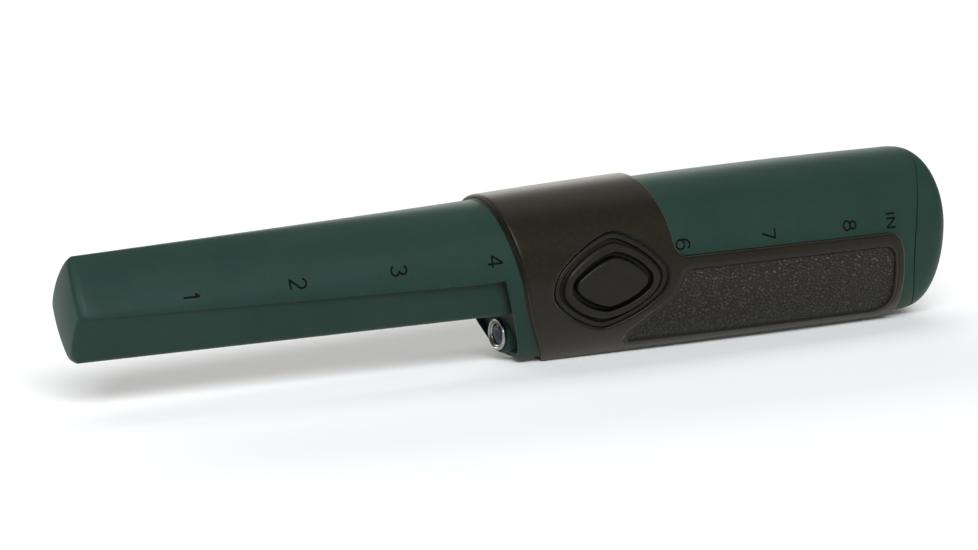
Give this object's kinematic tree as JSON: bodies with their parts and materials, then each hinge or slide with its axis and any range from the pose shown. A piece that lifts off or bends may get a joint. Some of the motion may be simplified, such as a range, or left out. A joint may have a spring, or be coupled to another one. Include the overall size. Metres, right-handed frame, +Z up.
{
  "type": "metal detector pinpointer",
  "caption": "Hand-held metal detector pinpointer: tapered probe with inch marks, rubber-sleeved handle, diamond push button, work light under the probe and screwed battery cap.",
  "frame": {"origin": "under the middle of the part, on the plane it rests on", "axes": "+X along the part from the probe's tip to the battery cap, +Z up, the button faces -Y"},
  "size_m": [0.2384, 0.0386, 0.0439],
  "materials": {
    "green_shell": "fine moulded grain",
    "grip_rubber": "matt, grained inset",
    "button_black": "satin",
    "seal_rubber": "matt",
    "silver_ring": "bright",
    "clear_lens": "clear",
    "emitter_white": "clear resin",
    "black_plastic": "satin",
    "frame_plastic": "natural moulding",
    "ferrite": "sintered",
    "copper_wire": "enamelled",
    "board_green": "solder mask",
    "steel": "plated",
    "brass_insert": "turned",
    "cell_wrap": "printed wrap",
    "lead_insulation": "smooth"
  },
  "bodies": {
    "body": {"housing": "green_shell", "grip_sleeve": "grip_rubber", "button_bezel": "button_black", "button_seal": "seal_rubber", "switch_body": "black_plastic", "led_bezel": "silver_ring", "led_seal": "seal_rubber", "led_lens": "clear_lens", "led_emitter": "emitter_white", "led_leads": "lead_insulation", "ferrite_rod": "ferrite", "coil_bobbin": "black_plastic", "search_coil": "copper_wire", "coil_leads": "copper_wire", "chassis": "frame_plastic", "chassis_screws": "steel", "circuit_board": "board_green", "board_screws": "steel", "controller_chip": "black_plastic", "drive_transistor": "black_plastic", "capacitors": "steel", "vibration_motor": "steel", "sounder": "black_plastic", "battery_upper": "cell_wrap", "battery_lower": "cell_wrap", "tray_contacts": "steel", "battery_leads": "lead_insulation", "cap_inserts": "brass_insert"},
    "button": {"button_cap": "button_black"},
    "plunger": {"switch_plunger": "frame_plastic"},
    "weight": {"motor_weight": "steel"},
    "cap": {"battery_cap": "green_shell", "cap_gasket": "seal_rubber", "contact_carrier": "black_plastic", "cap_contact": "steel"},
    "screw_left": {"cap_screw_left": "steel", "cap_clip_left": "steel"},
    "screw_right": {"cap_screw_right": "steel", "cap_clip_right": "steel"}
  },
  "joints": [
    {"name": "button_press", "type": "slide", "parent": "body", "child": "button", "axis": [0, 1, 0], "range_m": [0, 0.0008], "stiffness_N_per_m": 1500},
    {"name": "switch_press", "type": "slide", "parent": "body", "child": "plunger", "axis": [0, 1, 0], "range_m": [0, 0.0008]},
    {"name": "motor_spin", "type": "hinge", "parent": "body", "child": "weight", "pos_m": [0.03, 0.0063, 0.0215], "axis": [1, 0, 0], "continuous": true},
    {"name": "cap_pull", "type": "slide", "parent": "body", "child": "cap", "axis": [1, 0, 0], "range_m": [0, 0.04]},
    {"name": "cap_screw_left_turn", "type": "hinge", "parent": "cap", "child": "screw_left", "pos_m": [0.111, -0.009, 0.0221], "axis": [1, 0, 0], "range_deg": [0, 3600]},
    {"name": "cap_screw_right_turn", "type": "hinge", "parent": "cap", "child": "screw_right", "pos_m": [0.111, 0.009, 0.0221], "axis": [1, 0, 0], "range_deg": [0, 3600]}
  ],
  "couplings": [
    {"joint": "switch_press", "follows": "button_press", "ratio": 1}
  ]
}
